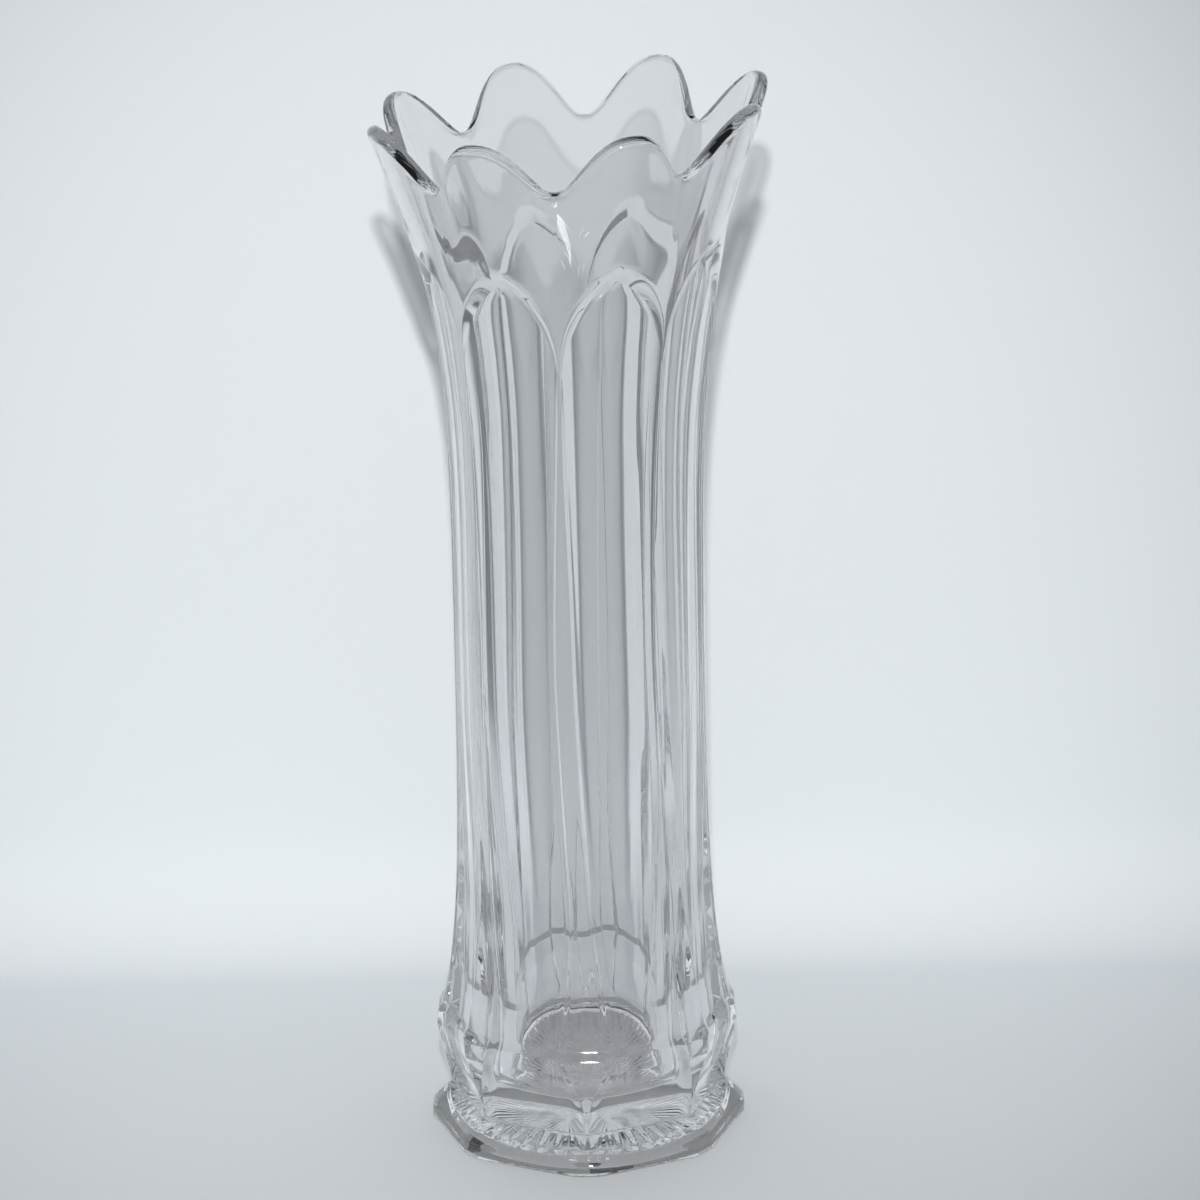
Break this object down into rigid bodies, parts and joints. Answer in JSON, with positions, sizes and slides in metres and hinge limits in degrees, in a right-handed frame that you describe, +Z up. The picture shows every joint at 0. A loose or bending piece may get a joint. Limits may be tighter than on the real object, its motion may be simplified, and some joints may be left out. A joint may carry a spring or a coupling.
{
  "type": "pressed glass vase",
  "caption": "Tall clear pressed glass vase with flat arched panels, a kite-cut heel, a spreading faceted foot and a flared rim of rounded petals.",
  "frame": {"origin": "centre of the foot's flat underside, at the height of the table", "axes": "+Z up along the vase to its mouth, -Y towards the front rib that the picture shows, +X to the right"},
  "size_m": [0.1138, 0.1112, 0.3177],
  "materials": {
    "clear_glass": "fire-polished clear glass"
  },
  "bodies": {
    "root": {"vase_body": "clear_glass"}
  },
  "joints": []
}
